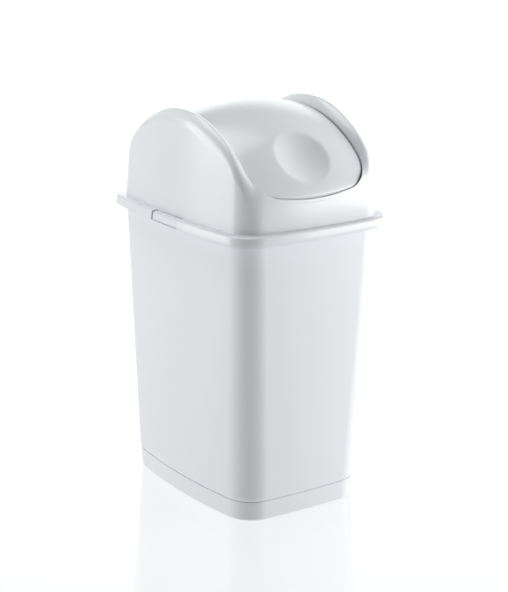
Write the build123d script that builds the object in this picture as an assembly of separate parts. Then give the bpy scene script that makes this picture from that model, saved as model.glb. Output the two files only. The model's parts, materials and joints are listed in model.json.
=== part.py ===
"""Swing-top wastebasket: a tapered bucket, a lift-off hood and a flap that swings on two pins.

Millimetres. +Z is up, the front (the side with the finger dimple) faces -Y, and the origin is the middle
of the footprint on the floor. Each piece is written to parts/NODE.step.
"""

from build123d import *
from math import atan2, cos, hypot, pi, radians, sin, sqrt, tan
import os

# ---------------------------------------------------------------- driving dimensions
WALL = 2.0                      # moulded wall of the bucket, hood and flap
FRONT_BOW = 0.05                # outward bow of the front and back walls, as a share of the half width
SIDE_BOW = 0.09                 # outward bow of the side walls, as a share of the half depth

# bucket: half width (X), half depth (Y) and corner radius at each level
PLINTH_HALF = (81.4, 108.1)
PLINTH_CORNER = 30.0
PLINTH_HEIGHT = 20.7
PLINTH_DRAFT = 0.9              # how far the plinth draws in at the floor
FOOT_EDGE = 3.0                 # rounding where the plinth meets the floor
FOOT_WIDTH = 9.0
FOOT_RECESS = 3.0
FLOOR_THICK = 2.5
SEAM_HEIGHT = 0.8               # groove between plinth and body
SEAM_DEPTH = 0.9
BODY_STEP = 1.1                 # the body stands proud of the plinth by this much
BODY_CHAMFER = 3.0
RIM_HALF = (92.3, 117.6)
RIM_CORNER = 27.0
RIM_Z = 298.3
BEAD_REACH = 6.3                # the rim bead, hidden under the hood's skirt
BEAD_THICK = 2.2

# hood
HOOD_HALF = (92.6, 117.9)
HOOD_CORNER = 27.0
HOOD_BASE_Z = 300.8
HOOD_DRAFT = 3.0                # degrees
CREST_Z = 406.5
CREST_RADIUS = 116.0
CREST_SLOPE = 39.5              # degrees, where the crest arc runs out into a straight slope
SHOULDER_ROUND = 18.0           # rounding between the hood's walls and its crest
GABLE_X = (66.0, 82.0)          # from its crest inward the surface of each gable falls toward the flap
GABLE_FALL = 10.5
GABLE_END_Y = 106.0             # the fall runs out here, front and rear
GABLE_WALL = 2.8                # upright thickness of the sloping part of the gable
SKIRT_HALF = (101.9, 127.2)
SKIRT_CORNER = 31.0
SKIRT_FLARE = 0.9
SKIRT_BOTTOM_Z = 290.9
LEDGE_EDGE = 2.6                # rounding of the skirt's upper edge
SPIGOT_GAP = 1.3                # between the hood's locating rib and the bucket's mouth
SPIGOT_DEPTH = 8.0
SPIGOT_WALL = 1.6

# opening, measured from the pivot axis so that the flap clears it at every angle
OPENING_REACH = 128.8           # distance of the lower edge from the pivot axis, at the middle
OPENING_ARC = 260.0             # radius of the dipped lower edge
OPENING_CORNER = 30.0
OPENING_HALF = 69.5             # half width at the corners
OPENING_HALF_TOP = 67.0         # half width level with the pivot
LIP_WALL = 2.2
LIP_DEPTH = 9.0

# flap
FLAP_GAP = 1.4
FLAP_TOP_Z = 407.0
FLAP_BASE_Z = 296.0
FLAP_HALF_DEPTH = 122.5
FLAP_POWER = 1.8                # exponent of the flap's arch across the depth
CROWN_TOP = 11.5                # how far the flap falls away at its sides, at the top of the arch
CROWN_EDGE = 4.0                # and at its front and rear edges
FLAP_RIM_WALL = 2.0
FLAP_RIM_DEPTH = 6.0
DIMPLE_RADIUS = 31.0
DIMPLE_DEPTH = 8.0
DIMPLE_T = 0.66                 # the dimple's place on the arch, radians up from the front edge

# pivot
PIVOT_Y = 0.0
PIVOT_Z = 386.0
PIN_RADIUS = 3.5
PIN_CLEARANCE = 0.06
PIN_HEAD = (5.5, 2.0)           # radius, thickness
EAR_WIDTH = 24.0
FLAP_EAR_X = (61.2, 65.2)
FLAP_EAR_LOW_Z = 378.0
HOOD_EAR_LOW_Z = 375.0
BOSS_RADIUS = 7.5
BOSS_OUT_X = 75.0
PIN_OUT_X = 74.0

# latch tongues in the skirt, one each side
TONGUE_Y = (-22.0, 20.0)        # root and free end
TONGUE_END_GAP = 2.0
TONGUE_SLIT = 1.2
TONGUE_TOP_X = 95.2             # the upper slit runs in the ledge, this far out from the middle
TONGUE_LOW_Z = 293.4
NIB = (9.0, 1.6, 1.2)           # length, height and thickness of the nib behind the free end
NIB_GAP = 0.4
TONGUE_REST_GAP = 0.2           # between the tongue and the top of the rim bead

# construction: sizes of cutting and forming solids, which leave no mark on the piece
TOP_CLEAR_Z = 440.0             # above everything
FORM_LOW_Z = 200.0              # below the hood
FORM_REACH = 150.0              # beyond the hood, front, rear and sides
BASE_CUT = (30.0, 60.0)         # margin and depth of the cut under the hood
TONGUE_CUT_X = 110.0
CUT_OVERRUN = 5.0
CREST_MARGIN = 20.0             # edges lower than this above the base are not rounded
UPRIGHT = 0.97
GABLE_STEPS = 7                 # points on each half of a gable's spline
GABLE_FADE = 4                  # exponent with which the fall runs out toward the gable's ends
ARCH_STEPS = 16
ARCH_SECTIONS_X = (-78, -52, -26, 0, 26, 52, 78)
ARCH_SKIRT = 10.0               # the solid under the arch reaches this far below its base


# ---------------------------------------------------------------- shared shapes
def outline_centres(half, corner):
    """The centres and radii of the front arc, side arc and corner of a bowed outline's positive quarter."""
    a, b = half
    front_sag, side_sag = FRONT_BOW * a, SIDE_BOW * b
    front_r = (a * a + front_sag**2) / (2 * front_sag)
    side_r = (b * b + side_sag**2) / (2 * side_sag)
    front_c, side_c = (0.0, b - front_r), (a - side_r, 0.0)
    # the corner's centre is where the two side arcs, drawn in by the corner radius, cross
    dx, dy = side_c[0] - front_c[0], side_c[1] - front_c[1]
    gap = hypot(dx, dy)
    r1, r2 = front_r - corner, side_r - corner
    along = (r1**2 - r2**2 + gap**2) / (2 * gap)
    off = sqrt(r1**2 - along**2)
    cx = front_c[0] + (dx * along + dy * off) / gap
    cy = front_c[1] + (dy * along - dx * off) / gap
    return front_c, front_r, side_c, side_r, (cx, cy)


def bowed_outline(half, corner, z):
    """A rounded rectangle whose four sides bow outward, as a face at height z."""
    a, b = half
    front_c, front_r, side_c, side_r, (cx, cy) = outline_centres(half, corner)
    on_side = atan2(cy - side_c[1], cx - side_c[0])
    on_front = atan2(cy - front_c[1], cx - front_c[0])
    middle = (on_side + on_front) / 2
    p_side = (cx + corner * cos(on_side), cy + corner * sin(on_side))
    p_mid = (cx + corner * cos(middle), cy + corner * sin(middle))
    p_front = (cx + corner * cos(on_front), cy + corner * sin(on_front))

    def at(p, sx, sy):
        return (sx * p[0], sy * p[1], z)

    edges = [
        ThreePointArc(at(p_side, 1, -1), (a, 0, z), at(p_side, 1, 1)),
        ThreePointArc(at(p_side, 1, 1), at(p_mid, 1, 1), at(p_front, 1, 1)),
        ThreePointArc(at(p_front, 1, 1), (0, b, z), at(p_front, -1, 1)),
        ThreePointArc(at(p_front, -1, 1), at(p_mid, -1, 1), at(p_side, -1, 1)),
        ThreePointArc(at(p_side, -1, 1), (-a, 0, z), at(p_side, -1, -1)),
        ThreePointArc(at(p_side, -1, -1), at(p_mid, -1, -1), at(p_front, -1, -1)),
        ThreePointArc(at(p_front, -1, -1), (0, -b, z), at(p_front, 1, -1)),
        ThreePointArc(at(p_front, 1, -1), at(p_mid, 1, -1), at(p_side, 1, -1)),
    ]
    return Face(Wire(edges))


def grown(half, by):
    return (half[0] + by, half[1] + by)


def between(low_half, low_corner, low_z, high_half, high_corner, high_z):
    """A solid whose outline changes evenly from one level to the next."""
    low = bowed_outline(low_half, low_corner, low_z)
    high = bowed_outline(high_half, high_corner, high_z)
    return Solid.make_loft([low.outer_wire(), high.outer_wire()], ruled=True)


def straight(half, corner, low_z, high_z):
    return between(half, corner, low_z, half, corner, high_z)


# ---------------------------------------------------------------- bucket
def bucket():
    body_z = PLINTH_HEIGHT + SEAM_HEIGHT
    full_z = body_z + BODY_CHAMFER
    plinth = between(
        grown(PLINTH_HALF, -PLINTH_DRAFT), PLINTH_CORNER - PLINTH_DRAFT, 0,
        PLINTH_HALF, PLINTH_CORNER, PLINTH_HEIGHT,
    )
    plinth = fillet(plinth.edges().group_by(Axis.Z)[0], FOOT_EDGE)
    groove = straight(grown(PLINTH_HALF, -SEAM_DEPTH), PLINTH_CORNER - SEAM_DEPTH, PLINTH_HEIGHT, body_z)
    step_half = grown(PLINTH_HALF, BODY_STEP)
    step_corner = PLINTH_CORNER + BODY_STEP
    chamfer_part = between(PLINTH_HALF, PLINTH_CORNER, body_z, step_half, step_corner, full_z)
    body = between(step_half, step_corner, full_z, RIM_HALF, RIM_CORNER, RIM_Z)
    bead = straight(grown(RIM_HALF, BEAD_REACH), RIM_CORNER + BEAD_REACH, RIM_Z - BEAD_THICK, RIM_Z)
    shell = plinth + groove + chamfer_part + body + bead

    floor_top = FOOT_RECESS + FLOOR_THICK
    inside_low = grown(PLINTH_HALF, -SEAM_DEPTH - WALL)
    hollow = between(
        inside_low, PLINTH_CORNER - SEAM_DEPTH - WALL, floor_top,
        grown(RIM_HALF, -WALL), RIM_CORNER - WALL, RIM_Z,
    )
    recess = straight(grown(PLINTH_HALF, -FOOT_WIDTH), PLINTH_CORNER - FOOT_WIDTH, 0, FOOT_RECESS)
    return shell - hollow - recess


# ---------------------------------------------------------------- hood
def crest_height(y):
    """The crest line of the gables: an arc that runs out into a straight slope."""
    turn = radians(CREST_SLOPE)
    end = CREST_RADIUS * sin(turn)
    if abs(y) < end:
        return CREST_Z - CREST_RADIUS + sqrt(CREST_RADIUS**2 - y * y)
    return CREST_Z - CREST_RADIUS * (1 - cos(turn)) - (abs(y) - end) * tan(turn)


def barrel(inset):
    """The crest line carried straight across the hood, drawn in by inset."""
    radius = CREST_RADIUS - inset
    centre_z = CREST_Z - CREST_RADIUS
    turn = radians(CREST_SLOPE)
    end = (radius * sin(turn), centre_z + radius * cos(turn))
    reach, low_z = FORM_REACH, FORM_LOW_Z
    far_z = end[1] - (reach - end[0]) * tan(turn)
    slope_and_base = Polyline(
        (0, end[0], end[1]), (0, reach, far_z), (0, reach, low_z),
        (0, -reach, low_z), (0, -reach, far_z), (0, -end[0], end[1]),
    )
    arc = ThreePointArc((0, -end[0], end[1]), (0, 0, centre_z + radius), (0, end[0], end[1]))
    outline = [arc, *slope_and_base.edges()]
    return extrude(Face(Wire(outline)), amount=FORM_REACH, dir=(1, 0, 0), both=True)


def runs_along_crest(edge):
    """True for the edges that bound the top surface of the hood, which are the ones to be rounded."""
    box = edge.bounding_box()
    across = box.size.Y < 0.01 and box.size.Z < 0.01
    upright = abs(edge.tangent_at(0.5).Z) > UPRIGHT
    return box.max.Z > HOOD_BASE_Z + CREST_MARGIN and not across and not upright


def dome(inset):
    """The hood's outer form drawn in by inset: a drafted prism under the barrel, rounded where they meet."""
    draw = (TOP_CLEAR_Z - HOOD_BASE_Z) * tan(radians(HOOD_DRAFT))
    prism = between(
        grown(HOOD_HALF, -inset), HOOD_CORNER - inset, HOOD_BASE_Z,
        grown(HOOD_HALF, -inset - draw), HOOD_CORNER - inset, TOP_CLEAR_Z,
    )
    form = (prism & barrel(inset)).solid()
    return fillet(form.edges().filter_by(runs_along_crest), SHOULDER_ROUND - inset)


def gable_cutter(sign):
    """What is taken off the inner side of a gable so that it falls from its crest to the flap."""
    sections = []
    for x, fall in ((GABLE_X[1], 0.0), (GABLE_X[0], GABLE_FALL)):
        points = []
        for k in range(-GABLE_STEPS, GABLE_STEPS + 1):
            share = k / GABLE_STEPS
            y = GABLE_END_Y * share
            points.append((sign * x, y, crest_height(y) - fall * (1 - share**GABLE_FADE)))
        first, last = points[0], points[-1]
        top = (sign * x, last[1], TOP_CLEAR_Z)
        top_first = (sign * x, first[1], TOP_CLEAR_Z)
        sections.append(Wire([Spline(points), Line(last, top), Line(top, top_first), Line(top_first, first)]))
    return Solid.make_loft(sections, ruled=True)


def opening_solid(grow):
    """The opening as a turned solid about the pivot axis, widened by grow."""
    arc, corner = OPENING_ARC + grow, OPENING_CORNER + grow
    half, half_top = OPENING_HALF + grow, OPENING_HALF_TOP + grow
    arc_centre = OPENING_REACH - OPENING_ARC
    corner_x = OPENING_HALF - OPENING_CORNER
    reach = OPENING_ARC - OPENING_CORNER
    corner_r = arc_centre + sqrt(reach**2 - corner_x**2)
    share = arc / reach
    tangent = (corner_x * share, arc_centre + (corner_r - arc_centre) * share)
    middle = atan2(tangent[1] - corner_r, tangent[0] - corner_x) / 2
    knee = (corner_x + corner * cos(middle), corner_r + corner * sin(middle))

    def at(x, r):
        return (x, 0, PIVOT_Z + r)

    outline = [
        Line(at(-half_top, 0), at(half_top, 0)),
        Line(at(half_top, 0), at(half, corner_r)),
        ThreePointArc(at(half, corner_r), at(*knee), at(*tangent)),
        ThreePointArc(at(*tangent), at(0, arc_centre + arc), at(-tangent[0], tangent[1])),
        ThreePointArc(at(-tangent[0], tangent[1]), at(-knee[0], knee[1]), at(-half, corner_r)),
        Line(at(-half, corner_r), at(-half_top, 0)),
    ]
    axis = Axis((0, PIVOT_Y, PIVOT_Z), (1, 0, 0))
    return revolve(Face(Wire(outline)), axis, 360)


def skirt():
    """The ledge and the down-turned skirt round the foot of the hood, with the locating rib inside."""
    outer = between(
        SKIRT_HALF, SKIRT_CORNER, SKIRT_BOTTOM_Z,
        grown(SKIRT_HALF, -SKIRT_FLARE), SKIRT_CORNER - SKIRT_FLARE, HOOD_BASE_Z,
    )
    outer = fillet(outer.edges().group_by(Axis.Z)[-1], LEDGE_EDGE)
    inner = between(
        grown(SKIRT_HALF, -WALL), SKIRT_CORNER - WALL, SKIRT_BOTTOM_Z,
        grown(SKIRT_HALF, -WALL - SKIRT_FLARE), SKIRT_CORNER - WALL - SKIRT_FLARE, RIM_Z,
    )
    rib_half = grown(RIM_HALF, -WALL - SPIGOT_GAP)
    rib_corner = RIM_CORNER - WALL - SPIGOT_GAP
    rib = straight(rib_half, rib_corner, RIM_Z - SPIGOT_DEPTH, RIM_Z)
    mouth_half = grown(rib_half, -SPIGOT_WALL)
    mouth = straight(mouth_half, rib_corner - SPIGOT_WALL, SKIRT_BOTTOM_Z - 2 * CUT_OVERRUN, TOP_CLEAR_Z)
    return outer - inner + rib - mouth


def x_box(sign, x_low, x_high, y_low, y_high, z_low, z_high):
    """A box given by its distance out from the middle plane, on one side of the hood."""
    box = Box(x_high - x_low, y_high - y_low, z_high - z_low)
    return Pos(sign * (x_low + x_high) / 2, (y_low + y_high) / 2, (z_low + z_high) / 2) * box


def x_rod(sign, radius, x_low, x_high, y, z):
    rod = Rot(0, 90, 0) * Cylinder(radius, x_high - x_low)
    return Pos(sign * (x_low + x_high) / 2, y, z) * rod


def tongue_zone(sign):
    """The block of skirt that each latch tongue is cut from."""
    return x_box(sign, TONGUE_TOP_X, TONGUE_CUT_X, *TONGUE_Y, TONGUE_LOW_Z, HOOD_BASE_Z + CUT_OVERRUN)


def tongue_window(sign):
    """The tongue's block plus the slits above, below and behind it."""
    return x_box(
        sign, TONGUE_TOP_X - TONGUE_SLIT, TONGUE_CUT_X, TONGUE_Y[0], TONGUE_Y[1] + TONGUE_END_GAP,
        TONGUE_LOW_Z - TONGUE_SLIT, HOOD_BASE_Z + CUT_OVERRUN,
    )


def hood(plain_skirt):
    outer_form = dome(0)
    inner_form = dome(WALL)
    for sign in (-1.0, 1.0):
        cutter = gable_cutter(sign)
        outer_form = outer_form - cutter
        inner_form = inner_form - Pos(0, 0, -GABLE_WALL) * cutter
    opening = opening_solid(0)
    lip_form = dome(LIP_DEPTH) & (Pos(0, 0, -LIP_DEPTH) * outer_form)
    lip_ring = (opening_solid(LIP_WALL) - opening) & (outer_form - lip_form)
    margin, depth = BASE_CUT
    base_cut = straight(grown(HOOD_HALF, margin), HOOD_CORNER + margin, HOOD_BASE_Z - depth, HOOD_BASE_Z)
    shell = (outer_form - inner_form - opening) + lip_ring - base_cut
    shell = shell + plain_skirt
    for sign in (-1.0, 1.0):
        inside = OPENING_HALF_TOP
        ear = x_box(sign, inside, inside + LIP_WALL, PIVOT_Y - EAR_WIDTH / 2, PIVOT_Y + EAR_WIDTH / 2,
                    HOOD_EAR_LOW_Z, CREST_Z - WALL)
        boss = x_rod(sign, BOSS_RADIUS, inside, BOSS_OUT_X, PIVOT_Y, PIVOT_Z)
        bore_x = (inside - CUT_OVERRUN, BOSS_OUT_X + CUT_OVERRUN)
        bore = x_rod(sign, PIN_RADIUS + PIN_CLEARANCE, *bore_x, PIVOT_Y, PIVOT_Z)
        shell = shell + ((ear & outer_form) - opening) + boss - bore
        shell = shell - tongue_window(sign)
    return shell


# ---------------------------------------------------------------- flap
def arch_point(t, drop):
    """A point on the flap's arch at angle t, 0 at the front and pi at the rear, drop below the surface."""
    c, s = cos(t), sin(t)
    y = -FLAP_HALF_DEPTH * (1 if c >= 0 else -1) * abs(c) ** (2 / FLAP_POWER)
    height = FLAP_TOP_Z - FLAP_BASE_Z
    z = FLAP_BASE_Z + height * s
    # the outward normal of the curve |y/B|^n + (z/H)^2 = 1
    ny = FLAP_POWER * abs(y / FLAP_HALF_DEPTH) ** (FLAP_POWER - 1) / FLAP_HALF_DEPTH * (1 if y >= 0 else -1)
    nz = 2 * s / height
    size = hypot(ny, nz)
    return (y - drop * ny / size, z - drop * nz / size)


def crown_drop(x, t):
    """How far the flap falls away from its middle line at x."""
    fall = CROWN_EDGE + (CROWN_TOP - CROWN_EDGE) * sin(t) ** 2
    return fall * (x / OPENING_HALF) ** 2


def crowned_solid(inset):
    """The solid under the flap's surface, drawn in by inset: arches lofted across the width."""
    sections = []
    for x in ARCH_SECTIONS_X:
        points = []
        for k in range(ARCH_STEPS + 1):
            t = pi * k / ARCH_STEPS
            y, z = arch_point(t, inset + crown_drop(x, t))
            points.append((x, y, z))
        arch = Spline(points)
        low_z = FLAP_BASE_Z - ARCH_SKIRT
        front, rear = points[0], points[-1]
        sections.append(
            Wire([
                arch,
                Line(rear, (x, rear[1], low_z)),
                Line((x, rear[1], low_z), (x, front[1], low_z)),
                Line((x, front[1], low_z), front),
            ])
        )
    return Solid.make_loft(sections)


def dimple_ball(grow):
    """The ball that presses the finger dimple into the flap."""
    y, z = arch_point(DIMPLE_T, 0)
    y_in, z_in = arch_point(DIMPLE_T, 1)
    ny, nz = y - y_in, z - z_in
    ball = (DIMPLE_RADIUS**2 + DIMPLE_DEPTH**2) / (2 * DIMPLE_DEPTH)
    away = ball - DIMPLE_DEPTH
    return Pos(0, y + ny * away, z + nz * away) * Sphere(ball + grow)


def swing_flap():
    skin = crowned_solid(0) - dimple_ball(0)
    under = crowned_solid(WALL) - dimple_ball(WALL)
    deep = crowned_solid(FLAP_RIM_DEPTH)
    edge = opening_solid(-FLAP_GAP)
    rim_ring = edge - opening_solid(-FLAP_GAP - FLAP_RIM_WALL)
    flap = ((skin - under) & edge) + ((skin - deep) & rim_ring)
    for sign in (-1.0, 1.0):
        ear = x_box(sign, FLAP_EAR_X[0], FLAP_EAR_X[1], PIVOT_Y - EAR_WIDTH / 2, PIVOT_Y + EAR_WIDTH / 2,
                    FLAP_EAR_LOW_Z, FLAP_TOP_Z)
        bore = x_rod(sign, PIN_RADIUS, FLAP_EAR_X[0] - CUT_OVERRUN, OPENING_HALF_TOP, PIVOT_Y, PIVOT_Z)
        flap = flap + (ear & skin) - bore
    return flap


def pivot_pin(sign):
    shaft = x_rod(sign, PIN_RADIUS, FLAP_EAR_X[0], PIN_OUT_X, PIVOT_Y, PIVOT_Z)
    head = x_rod(sign, PIN_HEAD[0], FLAP_EAR_X[0] - PIN_HEAD[1], FLAP_EAR_X[0], PIVOT_Y, PIVOT_Z)
    return shaft + head


# ---------------------------------------------------------------- latch tongues
def latch_tongue(sign, plain_skirt):
    """A tongue cut from the skirt on three sides, with a nib behind its free end that hooks the rim bead."""
    bead_x = RIM_HALF[0] + BEAD_REACH
    strip = plain_skirt & tongue_zone(sign)
    over_bead = x_box(sign, TONGUE_TOP_X - 1, bead_x + NIB_GAP, TONGUE_Y[0] - 1, TONGUE_Y[1] + 1,
                      RIM_Z - 0.1, RIM_Z + TONGUE_REST_GAP)
    nib = x_box(sign, bead_x + NIB_GAP, bead_x + NIB_GAP + NIB[2], TONGUE_Y[1] - NIB[0], TONGUE_Y[1],
                TONGUE_LOW_Z, TONGUE_LOW_Z + NIB[1])
    return (strip - over_bead + nib).solid()


# ---------------------------------------------------------------- all pieces
def main():
    os.makedirs("parts", exist_ok=True)
    plain_skirt = skirt()
    pieces = {
        "bucket": bucket(),
        "hood": hood(plain_skirt),
        "swing_flap": swing_flap(),
        "left_pivot_pin": pivot_pin(-1.0),
        "right_pivot_pin": pivot_pin(1.0),
        "left_latch_tongue": latch_tongue(-1.0, plain_skirt),
        "right_latch_tongue": latch_tongue(1.0, plain_skirt),
    }
    for name, piece in pieces.items():
        export_step(piece, f"parts/{name}.step")
        print(name, len(piece.solids()), round(piece.volume))


main()
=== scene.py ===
"""Looks for the swing-top wastebasket: materials, stage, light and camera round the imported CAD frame.

Metres, in the CAD's own frame: +Z up, front toward -Y, origin in the middle of the footprint.
"""

import json
from math import cos, pi, radians, sin, sqrt, tan

import bmesh
import bpy
import numpy as np
from mathutils import Matrix, Vector


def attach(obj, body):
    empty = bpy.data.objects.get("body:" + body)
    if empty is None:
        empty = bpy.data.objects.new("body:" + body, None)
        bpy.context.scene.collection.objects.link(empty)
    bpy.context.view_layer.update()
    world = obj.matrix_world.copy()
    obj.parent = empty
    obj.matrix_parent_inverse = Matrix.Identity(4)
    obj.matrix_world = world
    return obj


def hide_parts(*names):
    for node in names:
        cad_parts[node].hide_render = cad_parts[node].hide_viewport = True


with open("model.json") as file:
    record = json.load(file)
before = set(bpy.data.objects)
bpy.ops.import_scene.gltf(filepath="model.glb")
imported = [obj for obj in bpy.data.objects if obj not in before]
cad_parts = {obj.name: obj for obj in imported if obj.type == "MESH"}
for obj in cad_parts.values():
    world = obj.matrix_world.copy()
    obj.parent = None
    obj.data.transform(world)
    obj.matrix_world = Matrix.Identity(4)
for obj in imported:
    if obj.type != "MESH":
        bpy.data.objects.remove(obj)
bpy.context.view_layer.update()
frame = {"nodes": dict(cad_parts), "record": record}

# ---------------------------------------------------------------- camera
AZIMUTH = radians(-35.4)        # 0 looks along +Y, negative moves the camera toward -X
ELEVATION = radians(16.64)
ROLL = radians(0.76)
DISTANCE = 1.834
AIM_HEIGHT = 0.170
AIM_RIGHT = 0.0080              # the camera looks this far right of and above that height on the middle line
AIM_UP = 0.0298
LENS = 107.06                   # mm on a 36 mm sensor


def camera_axes():
    """The camera's right, up and backward directions."""
    back = Vector((sin(AZIMUTH) * cos(ELEVATION), -cos(AZIMUTH) * cos(ELEVATION), sin(ELEVATION)))
    right = Vector((cos(AZIMUTH), sin(AZIMUTH), 0.0))
    up = back.cross(right)
    turned_right = cos(ROLL) * right + sin(ROLL) * up
    turned_up = cos(ROLL) * up - sin(ROLL) * right
    return turned_right, turned_up, back


def add_camera():
    right, up, back = camera_axes()
    data = bpy.data.cameras.new("camera")
    data.lens = LENS
    data.sensor_width = 36.0
    data.sensor_fit = "AUTO"
    camera = bpy.data.objects.new("camera", data)
    place = Vector((0, 0, AIM_HEIGHT)) + AIM_RIGHT * right + AIM_UP * up + DISTANCE * back
    camera.matrix_world = Matrix.Translation(place) @ Matrix((right, up, back)).transposed().to_4x4()
    bpy.context.scene.collection.objects.link(camera)
    bpy.context.scene.camera = camera


# ---------------------------------------------------------------- materials
def node_material(name):
    """A new material, its node tree and its Principled shader."""
    material = bpy.data.materials.new(name)
    material.use_nodes = True
    return material, material.node_tree, material.node_tree.nodes["Principled BSDF"]


def noise(tree, place, scale, detail=2.0):
    """The value of a noise texture laid over the given coordinates."""
    texture = tree.nodes.new("ShaderNodeTexNoise")
    texture.inputs["Scale"].default_value = scale
    texture.inputs["Detail"].default_value = detail
    tree.links.new(place, texture.inputs["Vector"])
    return texture.outputs["Fac"]


def map_range(tree, value, limits):
    """A Map Range node over a value, with limits given by the names of its inputs."""
    node = tree.nodes.new("ShaderNodeMapRange")
    for limit, number in limits.items():
        node.inputs[limit].default_value = number
    tree.links.new(value, node.inputs["Value"])
    return node


def shade(colour, share):
    """The colour made darker or lighter, as a socket takes it."""
    return (*[min(1, c * share) for c in colour], 1)


def colour_mix(tree, factor, colour):
    """A colour mix toward the given colour; what it mixes from is set by the caller."""
    node = tree.nodes.new("ShaderNodeMix")
    node.data_type = "RGBA"
    node.inputs["B"].default_value = colour
    tree.links.new(factor, node.inputs["Factor"])
    return node


def bump(tree, height, strength, distance):
    """A Bump node driven by a height."""
    node = tree.nodes.new("ShaderNodeBump")
    node.inputs["Strength"].default_value = strength
    node.inputs["Distance"].default_value = distance
    tree.links.new(height, node.inputs["Height"])
    return node


def plastic(name, colour, roughness):
    """Moulded plastic: slight colour drift, a painted highlight along convex edges, rubbed patches, fine
    skin and faint flow ripple.
    """
    material, tree, shader = node_material(name)
    place = tree.nodes.new("ShaderNodeTexCoord").outputs["Object"]
    link = tree.links.new

    tint = colour_mix(tree, noise(tree, place, scale=9.0, detail=3.0), shade(colour, 1.012))
    tint.inputs["A"].default_value = shade(colour, 0.985)
    # painted highlight: convex edges, found by pointiness, are lightened up to 3% in the base colour
    sharpness = tree.nodes.new("ShaderNodeNewGeometry").outputs["Pointiness"]
    edge = map_range(tree, sharpness, {"From Min": 0.51, "From Max": 0.60})
    painted_edge_highlight = colour_mix(tree, edge.outputs["Result"], shade(colour, 1.03))
    link(tint.outputs["Result"], painted_edge_highlight.inputs["A"])
    link(painted_edge_highlight.outputs["Result"], shader.inputs["Base Color"])

    rubbed = noise(tree, place, scale=34.0, detail=4.0)
    rough = map_range(tree, rubbed, {"To Min": roughness - 0.03, "To Max": roughness + 0.04})
    link(rough.outputs["Result"], shader.inputs["Roughness"])

    skin = bump(tree, noise(tree, place, scale=900.0), strength=0.04, distance=0.0001)
    flow = bump(tree, noise(tree, place, scale=7.0, detail=0.0), strength=0.02, distance=0.004)
    link(skin.outputs["Normal"], flow.inputs["Normal"])
    link(flow.outputs["Normal"], shader.inputs["Normal"])

    shader.inputs["IOR"].default_value = 1.49
    return material


WHITE = (0.675, 0.690, 0.715)
BUCKET_WHITE = (0.710, 0.726, 0.752)
looks = {
    "bucket_plastic": plastic("bucket_plastic", BUCKET_WHITE, 0.30),
    "hood_plastic": plastic("hood_plastic", WHITE, 0.20),
    "flap_plastic": plastic("flap_plastic", WHITE, 0.22),
    "pin_plastic": plastic("pin_plastic", WHITE, 0.30),
    "tongue_plastic": plastic("tongue_plastic", WHITE, 0.20),
}
SLOTS = {part["node"]: part["material_slot"] for part in frame["record"]["subparts"]}


def dress_cad_nodes():
    """Gives each CAD mesh the material of its slot."""
    for name, piece in frame["nodes"].items():
        piece.data.materials.clear()
        piece.data.materials.append(looks[SLOTS[name]])


# ---------------------------------------------------------------- shared shape of the lid, in millimetres
MM = 0.001
BOW_FRONT, BOW_SIDE = 0.05, 0.09    # how far each side bows out, as a share of its half length
HOOD_HALF, HOOD_CORNER = (92.6, 117.9), 27.0
HOOD_FOOT_Z = 301.5
HOOD_DRAFT = tan(radians(3.0))
CREST_Z, CREST_LOW_Z = 406.9, 305.0
CREST_REACH = 119.0
CREST_POWER, CREST_ROOT = 2.2, 0.607
CREST_X = 80.0                  # the gables' crest; inside it the hood falls to the flap
GABLE_POWER = 1.8               # shape of that fall
END_LIFT, END_LIFT_FROM, END_LIFT_OVER = 6.5, 88.0, 28.0    # the hood's ends rise over the flap's run
ROUND_TOP, ROUND_LOW = 16.0, 6.0    # rounding of the gables' outer edge, at the top and toward their ends
ROUND_FADE = (45.0, 108.0)      # the rounding changes between these distances from the middle
SKIRT_HALF_X = 101.9
SKIRT_LOW_Z = 290.9
SKIRT_FLARE = 0.9
LEDGE_Z = 300.8
LEDGE_ROUND = 2.4
LEDGE_RUN = (3.0, 5.0)          # points on the flat of the ledge, outward from the hood's foot
FOOT_FILLET = 0.7
SKIRT_EDGE = 0.5
CORNER_GROWTH = 0.43            # how fast the corner's radius grows as the outline moves outward
SHEET = 2.0                     # moulded wall
LIP = 7.0                       # depth of the turned-in lip round the opening
LIP_ROOT, LIP_MIDDLE = 1.3, 0.6     # rows down the lip's inner face, as shares of the sheet and of the lip
LIP_EDGE = 0.6                  # easing of the lip's and the flap rim's lower edges

PIVOT_Z = 386.0
OPENING_REACH, OPENING_ARC, OPENING_CORNER = 128.8, 260.0, 30.0
OPENING_HALF, OPENING_HALF_TOP = 69.5, 67.0
FLAP_GAP = 1.4                  # seam between the flap and the opening's edge

FLAP_TOP_Z, FLAP_BASE_Z, FLAP_DEPTH, FLAP_POWER = 407.0, 296.0, 122.5, 1.8
CROWN_TOP, CROWN_EDGE = 11.5, 4.0   # how far the flap falls toward its sides, at its top and at its ends
CROWN_HALF, CROWN_LIMIT = 70.0, 1.1     # width at which that fall is reached, and the share it stops at
CREST_END, FLAP_END = 0.999, 0.995  # both curves are followed to here, short of where they turn vertical
DIMPLE_T = 0.69                 # the dimple's middle, in radians of turn from the front
DIMPLE_RADIUS, DIMPLE_DEPTH, DIMPLE_SOFT = 30.0, 8.0, 0.5

SPIGOT_IN = 3.6                 # the locating rib stands this far inside the hood's foot
SPIGOT_LOW_Z = 290.9
SPIGOT_WALL = 1.6
FLAP_RIM = 6.0
RIM_ROOT = 1.4                  # where the rim's inner face meets the flap's underside, in sheets
EDGE_SIZE = 0.8

SIDES = (("left", -1), ("right", 1))
EAR_HALF, EAR_CORNER, EAR_EASE = 12.0, 6.0, 0.4
HOOD_EAR_X, HOOD_EAR_Z = (67.0, 69.2), (375.0, 392.0)
FLAP_EAR_X, FLAP_EAR_Z = (61.2, 65.2), (378.0, 394.5)
BOSS_X, BOSS_RADIUS, BOSS_EASE = (69.0, 75.0), 7.5, 0.6
WINDOW = ((93.3, 110.0), (-22.0, 24.0), (291.7, 306.0))

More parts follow.
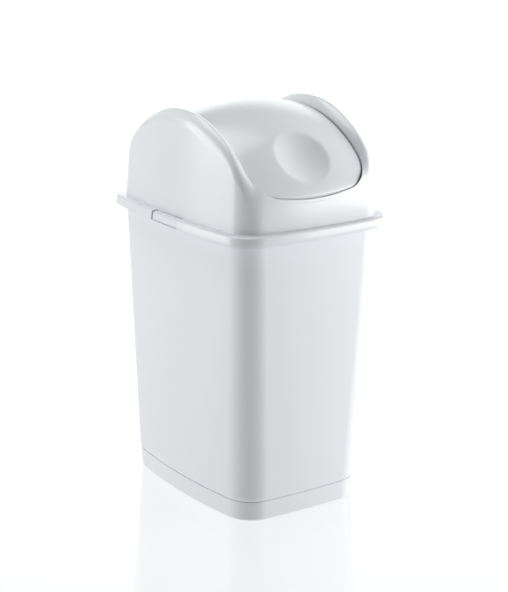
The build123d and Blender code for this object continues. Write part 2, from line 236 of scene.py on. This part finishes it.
# how finely the lid is drawn
RAYS = 400                      # points round every ring
HOOD_ROWS = 84
INNER_SHARE = 0.86              # share of the hood's rows that its inner face follows
FLAP_ROWS = 110
RIM_ROWS = 3                    # rows of the flap's inner face that give way to the rim
RAY_STEPS, RAY_BUNCH = 500, 1.7
LOOP_X, LOOP_TURN = 90.0, 1.55  # the search for the opening's edge runs this far, in width and in turn
NEAR_SEAM = 0.2                 # the share of that run at which the hood's search starts
TURN_LENGTH = 95.0              # roughly the flap's length for one radian of turn
OUTLINE_LIMIT, HOOD_LIMIT = 300.0, 190.0
FINE, COARSE = 40, 34           # halvings in a search
EASE_POINTS, BOSS_SIDES = 9, 48
SHARP_ANGLE = radians(38)


def smooth_step(value):
    """0 to 1 with a level start and end."""
    value = np.clip(value, 0.0, 1.0)
    return value * value * (3 - 2 * value)


def bowed_arcs(a, b, corner):
    """Centre and radius of the front arc, side arc and corner of a rounded rectangle with bowed sides."""
    front_r = (a * a + (BOW_FRONT * a) ** 2) / (2 * BOW_FRONT * a)
    side_r = (b * b + (BOW_SIDE * b) ** 2) / (2 * BOW_SIDE * b)
    front_y, side_x = b - front_r, a - side_r
    gap = np.hypot(side_x, front_y)
    r1, r2 = front_r - corner, side_r - corner
    along = (r1**2 - r2**2 + gap**2) / (2 * gap)
    off = np.sqrt(r1**2 - along**2)
    cx = (side_x * along - front_y * off) / gap
    cy = front_y + (-front_y * along - side_x * off) / gap
    return front_y, front_r, side_x, side_r, cx, cy


def wall_depth(x, y, a, b, corner):
    """How far a point lies inside that outline, negative outside."""
    front_y, front_r, side_x, side_r, cx, cy = bowed_arcs(a, b, corner)
    x, y = np.abs(x), np.abs(y)
    to_side = side_r - np.hypot(x - side_x, y)
    to_front = front_r - np.hypot(x, y - front_y)
    past_side = y * (cx - side_x) - (x - side_x) * cy > 0
    past_front = x * (cy - front_y) - (y - front_y) * cx > 0
    to_corner = corner - np.hypot(x - cx, y - cy)
    return np.where(past_side & past_front, to_corner, np.minimum(to_side, to_front))


def last_inside(inside, near, far, halvings):
    """The furthest distance between near and far, ray by ray, at which inside(distance) still holds."""
    for _ in range(halvings):
        middle = (near + far) / 2
        held = inside(middle)
        near, far = np.where(held, middle, near), np.where(held, far, middle)
    return near


def outline_point(a, b, corner, bearing):
    """The outline's point on each bearing from the middle."""
    dx, dy = np.cos(bearing), np.sin(bearing)
    reach = last_inside(lambda r: wall_depth(r * dx, r * dy, a, b, corner) > 0,
                        np.zeros_like(dx), np.full_like(dx, OUTLINE_LIMIT), FINE)
    return reach * dx, reach * dy


def crest_height(y):
    """Height of the gables' crest: nearly round at the top and steep toward its ends."""
    share = np.minimum(np.abs(y) / CREST_REACH, CREST_END)
    return CREST_LOW_Z + (CREST_Z - CREST_LOW_Z) * (1 - share**CREST_POWER) ** CREST_ROOT


def flap_height(x, y):
    """The flap's surface, and its run beyond the opening, as a height over the plan."""
    share = np.minimum(np.abs(y) / FLAP_DEPTH, FLAP_END)
    rise = np.sqrt(1 - share**FLAP_POWER)
    height = FLAP_TOP_Z - FLAP_BASE_Z
    slope = height * FLAP_POWER / 2 * share ** (FLAP_POWER - 1) / (FLAP_DEPTH * rise)
    fall = (CROWN_EDGE + (CROWN_TOP - CROWN_EDGE) * rise**2) * np.sqrt(1 + slope**2)
    return FLAP_BASE_Z + height * rise - fall * np.minimum(np.abs(x) / CROWN_HALF, CROWN_LIMIT) ** 2


def hood_top(x, y):
    """The hood's top before its outer edge is rounded: gables that fall smoothly to the flap."""
    flap = flap_height(x, y)
    out = np.clip((CREST_X - np.abs(x)) / (CREST_X - OPENING_HALF_TOP), 0, 1)
    lift = smooth_step((np.abs(y) - END_LIFT_FROM) / END_LIFT_OVER) * END_LIFT
    return flap + lift + (crest_height(y) - flap - lift) * (1 - out**GABLE_POWER)


def hood_field(x, y, z):
    """Negative inside the hood's outer form, zero on its surface."""
    drawn_in = (z - HOOD_FOOT_Z) * HOOD_DRAFT
    outside = -wall_depth(x, y, HOOD_HALF[0] - drawn_in, HOOD_HALF[1] - drawn_in, HOOD_CORNER)
    step = 0.5
    slope = (crest_height(y + step) - crest_height(y - step)) / (2 * step)
    above = (z - hood_top(x, y)) / np.sqrt(1 + slope**2)
    fade = smooth_step((np.abs(y) - ROUND_FADE[0]) / (ROUND_FADE[1] - ROUND_FADE[0]))
    radius = ROUND_TOP + (ROUND_LOW - ROUND_TOP) * fade
    rounded = np.hypot(above + radius, outside + radius) - radius
    return np.where((above > -radius) & (outside > -radius), rounded, np.maximum(above, outside))


def opening_edge(x, reach, grow):
    """Negative inside the opening's outline, drawn in width against reach from the pivot axis."""
    centre = OPENING_REACH - OPENING_ARC
    corner_x = OPENING_HALF - OPENING_CORNER
    corner_reach = centre + sqrt((OPENING_ARC - OPENING_CORNER) ** 2 - corner_x**2)
    x = np.abs(x)
    side = OPENING_HALF_TOP + (OPENING_HALF - OPENING_HALF_TOP) * np.clip(reach / corner_reach, 0, 1)
    to_side = x - side
    to_arc = np.hypot(x, reach - centre) - OPENING_ARC
    to_corner = np.hypot(x - corner_x, reach - corner_reach) - OPENING_CORNER
    past = (reach > corner_reach) & (x * (corner_reach - centre) > corner_x * (reach - centre))
    return np.where(past, to_corner, np.maximum(to_side, to_arc)) - grow


def arch_point(x, turn):
    """A point of the flap's surface: turn is 0 at the front, pi at the rear."""
    c, s = np.cos(turn), np.sin(turn)
    height = FLAP_TOP_Z - FLAP_BASE_Z
    y = -FLAP_DEPTH * np.sign(c) * np.abs(c) ** (2 / FLAP_POWER)
    z = FLAP_BASE_Z + height * s
    ny = FLAP_POWER * np.abs(y / FLAP_DEPTH) ** (FLAP_POWER - 1) / FLAP_DEPTH * np.sign(y)
    nz = 2 * s / height
    size = np.hypot(ny, nz)
    inward = (CROWN_EDGE + (CROWN_TOP - CROWN_EDGE) * s**2) * (x / CROWN_HALF) ** 2
    return np.stack([x, y - inward * ny / size, z - inward * nz / size], -1)


def flap_loop(grow):
    """The opening's outline on the flap's surface as (x, turn from its top), evenly spaced along it."""
    bearing = np.linspace(0, 2 * pi, 4 * RAYS, endpoint=False)
    dx, dt = np.cos(bearing) * LOOP_X, np.sin(bearing) * LOOP_TURN

    def inside(share):
        x, y, z = np.moveaxis(arch_point(share * dx, pi / 2 + share * dt), -1, 0)
        return opening_edge(x, np.hypot(y, z - PIVOT_Z), grow) < 0

    share = last_inside(inside, np.zeros_like(dx), np.ones_like(dx), FINE)
    x, turn = share * dx, share * dt
    return evenly(np.stack([x, turn], -1), arch_point(x, pi / 2 + turn))


def evenly(values, places, count=RAYS):
    """Picks values at equal steps along the closed line of places."""
    closed = np.vstack([places, places[:1]])
    length = np.concatenate([[0], np.cumsum(np.linalg.norm(np.diff(closed, axis=0), axis=1))])
    wrapped = np.vstack([values, values[:1]])
    at = np.linspace(0, length[-1], count, endpoint=False)
    return np.stack([np.interp(at, length, wrapped[:, k]) for k in range(values.shape[1])], -1)


def dimple_depth(points):
    """How deep the finger dimple lies under each point: a shallow ball with a soft rim."""
    middle = arch_point(np.zeros(1), np.full(1, DIMPLE_T))[0]
    off = np.linalg.norm(points - middle, axis=-1) / DIMPLE_RADIUS
    ball = DIMPLE_DEPTH * (1 - off**2)
    return np.logaddexp(0, ball / DIMPLE_SOFT) * DIMPLE_SOFT


def ring_mesh(name, rows, joined):
    """A mesh from closed rings of points, each joined to the next; the last to the first, or both capped."""
    rows = np.array(rows)
    count, around = rows.shape[:2]
    points = [tuple(point) for point in (rows.reshape(-1, 3) * MM).tolist()]
    faces = []
    for i in range(count if joined else count - 1):
        low, high = i * around, (i + 1) % count * around
        for j in range(around):
            k = (j + 1) % around
            faces.append((low + j, low + k, high + k, high + j))
    if not joined:
        for low, row in ((0, rows[0]), ((count - 1) * around, rows[-1])):
            points.append(tuple((row.mean(axis=0) * MM).tolist()))
            faces += [(len(points) - 1, low + j, low + (j + 1) % around) for j in range(around)]
    return piece_of(name, points, faces)


def shown(name, mesh):
    """Puts a mesh into the scene as a piece, smooth but for its sharp edges."""
    mesh.shade_smooth()
    mesh.set_sharp_from_angle(angle=SHARP_ANGLE)
    piece = bpy.data.objects.new(name, mesh)
    bpy.context.scene.collection.objects.link(piece)
    return piece


def piece_of(name, points, faces):
    """A piece from points in metres and faces, with the faces turned to look outward."""
    mesh = bpy.data.meshes.new(name)
    mesh.from_pydata(points, [], faces)
    facing = bmesh.new()
    facing.from_mesh(mesh)
    bmesh.ops.recalc_face_normals(facing, faces=facing.faces)
    facing.to_mesh(mesh)
    facing.free()
    return shown(name, mesh)


# ---------------------------------------------------------------- hood
def on_hood(centre, toward):
    """Where the ray from each centre toward each point leaves the hood's outer form."""
    way = toward - centre
    way = way / np.linalg.norm(way, axis=-1, keepdims=True)
    rays = way.shape[:-1]

    def inside(reach):
        point = centre + reach[..., None] * way
        return hood_field(point[..., 0], point[..., 1], point[..., 2]) < 0

    reach = last_inside(inside, np.zeros(rays), np.full(rays, HOOD_LIMIT), COARSE)
    return centre + reach[..., None] * way


def hood_seam():
    """The opening's edge on the hood's surface, one point a ray."""
    bearing = np.linspace(0, 2 * pi, 3 * RAYS, endpoint=False)
    dx, dt = np.cos(bearing) * LOOP_X, np.sin(bearing) * LOOP_TURN
    centre = np.array([0.0, 0.0, HOOD_FOOT_Z])

    def surface(share):
        return on_hood(centre, arch_point(share * dx, pi / 2 + share * dt))

    share = last_inside(lambda share: edge_field(*np.moveaxis(surface(share), -1, 0)) < 0,
                        np.full_like(dx, NEAR_SEAM), np.ones_like(dx), COARSE)
    seam = surface(share)
    return evenly(seam, seam)


def edge_field(x, y, z):
    """Negative inside the opening, which is swept about the pivot axis."""
    return opening_edge(x, np.hypot(y, z - PIVOT_Z), 0.0)


def gradient(field, points, step=0.05):
    """Unit gradient of a field of (x, y, z) at each point."""
    parts = []
    for axis in range(3):
        shift = np.zeros(3)
        shift[axis] = step
        ahead, behind = np.moveaxis(points + shift, -1, 0), np.moveaxis(points - shift, -1, 0)
        parts.append(field(*ahead) - field(*behind))
    slope = np.stack(parts, -1)
    return slope / np.maximum(np.linalg.norm(slope, axis=-1, keepdims=True), 1e-9)


def unit(vectors):
    return vectors / np.maximum(np.linalg.norm(vectors, axis=-1, keepdims=True), 1e-9)


def along_opening(inward, points):
    """The inward direction kept on the swept edge of the opening, and the direction across that edge."""
    across = gradient(edge_field, points)
    return unit(inward - np.sum(inward * across, -1, keepdims=True) * across), across


def rounded_edge(edge, way_out, way_in, size, count=6):
    """Rows that round an edge from one surface onto another."""
    rows = []
    for s in np.linspace(0, 1, count):
        rows.append(edge + way_out * size * (1 - s) ** 2 + way_in * size * s**2)
    return rows


def resampled(dense, count, skip):
    """Rows at equal steps along each ray, starting a little way from its first point."""
    rows = np.empty((count, dense.shape[1], 3))
    for j in range(dense.shape[1]):
        length = np.concatenate([[0], np.cumsum(np.linalg.norm(np.diff(dense[:, j], axis=0), axis=1))])
        at = np.linspace(skip, length[-1], count)
        for k in range(3):
            rows[:, j, k] = np.interp(at, length, dense[:, j, k])
    return rows


def hood_rows(seam):
    """Rows of points down the hood's outside, from the opening's edge to the ledge."""
    bearing = np.arctan2(seam[:, 1], seam[:, 0] * HOOD_HALF[0] / OPENING_HALF)
    foot = np.stack([*outline_point(*HOOD_HALF, HOOD_CORNER, bearing), np.full(RAYS, HOOD_FOOT_Z)], -1)
    centre = np.stack([np.zeros(RAYS), seam[:, 1] * 0.5, np.full(RAYS, HOOD_FOOT_Z - 2)], -1)
    start, stop = unit(seam - centre), unit(foot - centre)
    share = np.linspace(0, 1, RAY_STEPS) ** RAY_BUNCH
    dense = np.stack([on_hood(centre, centre + start * (1 - s) + stop * s) for s in share])
    dense[0], dense[-1] = seam, foot
    return resampled(dense, HOOD_ROWS, EDGE_SIZE), bearing


def arc_profile(out, height, radius, start, stop, count):
    """Points (outward, height) round a centre, from one angle to another in degrees."""
    turn = np.radians(np.linspace(start, stop, count))
    return [(out + radius * cos(t), height + radius * sin(t)) for t in turn]


def skirt_rows(bearing):
    """Rows over the ledge, down the skirt, up inside it and round the spigot that stands in the rim."""
    grow = SKIRT_HALF_X - HOOD_HALF[0]
    under = LEDGE_Z - SHEET
    spigot_inner = -SPIGOT_IN - SPIGOT_WALL
    edge_z = SKIRT_LOW_Z + SKIRT_EDGE
    profile = arc_profile(FOOT_FILLET, LEDGE_Z + FOOT_FILLET, FOOT_FILLET, 180, 270, 5)
    profile += [(out, LEDGE_Z) for out in LEDGE_RUN]
    profile += arc_profile(grow - SKIRT_FLARE - LEDGE_ROUND, LEDGE_Z - LEDGE_ROUND, LEDGE_ROUND, 90, 0, 9)
    profile += [(grow - SKIRT_FLARE / 2, (LEDGE_Z + SKIRT_LOW_Z) / 2 - 1)]
    profile += arc_profile(grow - SKIRT_EDGE, edge_z, SKIRT_EDGE, 0, -90, 4)
    profile += arc_profile(grow - SHEET + SKIRT_EDGE, edge_z, SKIRT_EDGE, -90, -180, 4)
    profile += [(grow - SHEET - SKIRT_FLARE / 2, under - 2), (grow - SHEET - SKIRT_FLARE, under)]
    profile += [(0.0, under), (-SPIGOT_IN, under), (-SPIGOT_IN, SPIGOT_LOW_Z)]
    profile += [(spigot_inner, SPIGOT_LOW_Z), (spigot_inner, under + 1)]
    rows = []
    for out, height in profile:
        corner = HOOD_CORNER + out * CORNER_GROWTH
        x, y = outline_point(HOOD_HALF[0] + out, HOOD_HALF[1] + out, corner, bearing)
        rows.append(np.stack([x, y, np.full(RAYS, height)], -1))
    return rows


def build_hood():
    """The hood as one closed sheet: eased edge, outside, skirt, spigot, inside and lip."""
    seam = hood_seam()
    outer, bearing = hood_rows(seam)
    inward = -gradient(hood_field, outer)
    lip_way, across = along_opening(inward[0], seam)
    rows = rounded_edge(seam, unit(outer[0] - seam), lip_way, EDGE_SIZE)[::-1]
    rows += list(outer[1:]) + skirt_rows(bearing)
    inner = outer + inward * SHEET
    rows += list(inner[::-1][: int(HOOD_ROWS * INNER_SHARE)])
    lip_depths = (SHEET * LIP_ROOT, LIP * LIP_MIDDLE, LIP - LIP_EDGE)
    rows += [seam + across * SHEET + lip_way * depth for depth in lip_depths]
    rows += [seam + across * out + lip_way * LIP for out in (SHEET - LIP_EDGE, LIP_EDGE)]
    rows += [seam + lip_way * depth for depth in (LIP - LIP_EDGE, LIP / 2)]
    return ring_mesh("hood_shell", rows, joined=True)


# ---------------------------------------------------------------- flap
def arch_normal(x, turn):
    """Inward unit normal of the flap's surface."""
    turn_step, x_step = 1e-3, 0.1
    along = arch_point(x, turn + turn_step) - arch_point(x, turn - turn_step)
    over = arch_point(x + x_step, turn) - arch_point(x - x_step, turn)
    normal = unit(np.cross(over, along))
    middle = np.array([0.0, 0.0, FLAP_BASE_Z - 20])     # well inside the arch
    facing = np.sum(normal * (middle - arch_point(x, turn)), -1, keepdims=True)
    return normal * np.sign(facing)


def build_flap():
    """The flap as one closed sheet: top with its dimple, rim turned down, and underside."""
    loop = flap_loop(-FLAP_GAP)
    edge = arch_point(loop[:, 0], pi / 2 + loop[:, 1])
    inward = arch_normal(loop[:, 0], pi / 2 + loop[:, 1])
    rim_way, across = along_opening(inward, edge)
    length = np.hypot(loop[:, 0], loop[:, 1] * TURN_LENGTH)
    outer, inner = [], []
    for share in np.linspace(1, 1 / FLAP_ROWS, FLAP_ROWS):
        part = share * (1 - EDGE_SIZE / length)
        x, turn = loop[:, 0] * part, pi / 2 + loop[:, 1] * part
        points = arch_point(x, turn)
        down = arch_normal(x, turn)
        skin = points + down * dimple_depth(points)[:, None]
        outer.append(skin)
        inner.append(skin + down * SHEET)
    rows = outer[::-1]
    rows += rounded_edge(edge, unit(outer[0] - edge), rim_way, EDGE_SIZE)[1:]
    rows += [edge + rim_way * (FLAP_RIM - LIP_EDGE)]
    rows += [edge - across * within + rim_way * FLAP_RIM for within in (LIP_EDGE, SHEET - LIP_EDGE)]
    rows += [edge - across * SHEET + rim_way * depth for depth in (FLAP_RIM - LIP_EDGE, SHEET * RIM_ROOT)]
    rows += inner[RIM_ROWS:]
    return ring_mesh("flap_shell", rows, joined=False)


# ---------------------------------------------------------------- ears, bosses and windows
def ear(name, sign, x_range, z_range):
    """An upright plate with rounded lower corners and eased edges, seen from the side as a tab."""
    x_low, x_high = sorted(sign * x for x in x_range)
    low_z, high_z = z_range
    plan = ((x_low, EAR_EASE), (x_low + EAR_EASE, 0.0), (x_high - EAR_EASE, 0.0), (x_high, EAR_EASE))
    rows = []
    for x, inset in plan:
        half, corner = EAR_HALF - inset, EAR_CORNER - inset
        outline = [(half, high_z - inset), (-half, high_z - inset)]
        for middle_y, start in ((-half + corner, 180), (half - corner, 270)):
            for turn in np.radians(np.linspace(start, start + 90, EASE_POINTS)):
                outline.append((middle_y + corner * cos(turn), low_z + inset + corner * (1 + sin(turn))))
        rows.append([(x, y, z) for y, z in outline])
    return ring_mesh(name, rows, joined=False)


def boss(name, sign):
    """A round boss about the pivot axis with an eased outer edge."""
    root, tip = (sign * x for x in BOSS_X)
    turns = np.linspace(0, 2 * pi, BOSS_SIDES, endpoint=False)
    rings = ((root, BOSS_RADIUS), (tip - sign * BOSS_EASE, BOSS_RADIUS), (tip, BOSS_RADIUS - BOSS_EASE))
    rows = []
    for x, size in rings:
        rows.append([(x, size * cos(turn), PIVOT_Z + size * sin(turn)) for turn in turns])
    return ring_mesh(name, rows, joined=False)


def cut_window(piece, sign):
    """Cuts the opening that a latch tongue works in through the skirt and ledge on one side."""
    (x_low, x_high), (y_low, y_high), (z_low, z_high) = WINDOW
    plan = ((x_low, y_low), (x_high, y_low), (x_high, y_high), (x_low, y_high))
    corners = [(sign * x * MM, y * MM, z * MM) for z in (z_low, z_high) for x, y in plan]
    faces = [(0, 1, 2, 3), (4, 5, 6, 7), (0, 1, 5, 4), (1, 2, 6, 5), (2, 3, 7, 6), (3, 0, 4, 7)]
    block = piece_of("window_block", corners, faces)
    cut = piece.modifiers.new("window", "BOOLEAN")
    cut.operation = "DIFFERENCE"
    cut.solver = "EXACT"
    cut.object = block
    result = piece.evaluated_get(bpy.context.evaluated_depsgraph_get())
    mesh = bpy.data.meshes.new_from_object(result)
    piece.modifiers.clear()
    piece.data = mesh
    bpy.data.objects.remove(block)


def merged(name, pieces):
    """One piece that holds the meshes of several, which keep their own closed surfaces."""
    whole = bmesh.new()
    for piece in pieces:
        whole.from_mesh(piece.data)
        bpy.data.objects.remove(piece)
    mesh = bpy.data.meshes.new(name)
    whole.to_mesh(mesh)
    whole.free()
    return shown(name, mesh)


def whole_hood():
    """The hood's sheet with both latch windows, and the ears and bosses that carry the axle."""
    shell = build_hood()
    parts = [shell]
    for side, sign in SIDES:
        cut_window(shell, sign)
        parts.append(ear(f"hood_ear_{side}", sign, HOOD_EAR_X, HOOD_EAR_Z))
        parts.append(boss(f"hood_boss_{side}", sign))
    return merged("hood_moulding", parts)


def whole_flap():
    """The flap's sheet with its two ears."""
    ears = [ear(f"flap_ear_{side}", sign, FLAP_EAR_X, FLAP_EAR_Z) for side, sign in SIDES]
    return merged("flap_moulding", [build_flap(), *ears])


def add_lid():
    """Puts the shown hood and flap on their bodies in place of the CAD meshes."""
    for piece, node, body in ((whole_hood(), "hood", "hood"), (whole_flap(), "swing_flap", "flap")):
        slot = SLOTS[node]
        piece.data.materials.append(looks[slot])
        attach(piece, body)
        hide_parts(node)


# ---------------------------------------------------------------- stage and light
FLOOR_SIZE, FLOOR_CELLS = 120.0, 16
FLOOR_COLOUR, GLOW_COLOUR = (0.10, 0.10, 0.10, 1), (0.985, 0.993, 1, 1)
FLOOR_GLOW = 0.74
SKY_COLOUR = (0.95, 0.975, 1.0, 1)
FRONT_SKY, BACK_SKY = 0.03, 1.6
SKY_FADE = (0.78, 0.92)             # cosines of the angle from BACKWARD between which the sky brightens
BACKWARD = (0.579, 0.815, 0.0)      # level, straight away from the main camera
LIGHT_AIM = (0, 0, 0.22)
SOFTBOXES = {                       # place, width, height, radiance
    "left_box": ((-2.0, 1.15, 0.75), 1.6, 1.5, 4.6),
    "right_box": ((1.88, -1.16, 0.60), 2.4, 1.1, 7.6),
    "top_box": ((-0.2, 0.5, 2.4), 1.8, 1.8, 4.0),
}


def add_floor():
    """A wide, dark, slightly glossy floor that glows evenly, so that it shows near white."""
    count = FLOOR_CELLS + 1
    steps = np.linspace(-FLOOR_SIZE / 2, FLOOR_SIZE / 2, count).tolist()
    points = [(x, y, 0.0) for y in steps for x in steps]
    corners = [row * count + column for row in range(FLOOR_CELLS) for column in range(FLOOR_CELLS)]
    floor = piece_of("floor", points, [(k, k + 1, k + count + 1, k + count) for k in corners])
    material, _, shader = node_material("floor")
    shader.inputs["Base Color"].default_value = FLOOR_COLOUR
    shader.inputs["Roughness"].default_value = 0.13
    shader.inputs["IOR"].default_value = 1.6
    shader.inputs["Emission Color"].default_value = GLOW_COLOUR
    shader.inputs["Emission Strength"].default_value = FLOOR_GLOW
    floor.data.materials.append(material)


def softbox(name, place, width, height, radiance):
    """A rectangular light that faces the object, set by its radiance."""
    data = bpy.data.lights.new(name, "AREA")
    data.shape = "RECTANGLE"
    data.size, data.size_y = width, height
    data.energy = radiance * pi * width * height
    light = bpy.data.objects.new(name, data)
    light.location = place
    light.rotation_euler = (Vector(place) - Vector(LIGHT_AIM)).to_track_quat("Z", "Y").to_euler()
    bpy.context.scene.collection.objects.link(light)


def add_world():
    """A studio that is bright behind the object and dim behind the camera."""
    world = bpy.data.worlds.new("studio")
    world.use_nodes = True
    tree = world.node_tree
    facing = tree.nodes.new("ShaderNodeVectorMath")
    facing.operation = "DOT_PRODUCT"
    facing.inputs[1].default_value = BACKWARD
    tree.links.new(tree.nodes.new("ShaderNodeTexCoord").outputs["Generated"], facing.inputs[0])
    limits = {"From Min": SKY_FADE[0], "From Max": SKY_FADE[1], "To Min": FRONT_SKY, "To Max": BACK_SKY}
    glow = map_range(tree, facing.outputs["Value"], limits)
    glow.interpolation_type = "SMOOTHSTEP"
    background = tree.nodes["Background"]
    background.inputs["Color"].default_value = SKY_COLOUR
    tree.links.new(glow.outputs["Result"], background.inputs["Strength"])
    bpy.context.scene.world = world


def add_light():
    for name, (place, width, height, radiance) in SOFTBOXES.items():
        softbox(name, place, width, height, radiance)


add_camera()
dress_cad_nodes()
add_lid()
add_floor()
add_world()
add_light()
bpy.context.scene.view_settings.view_transform = "Standard"
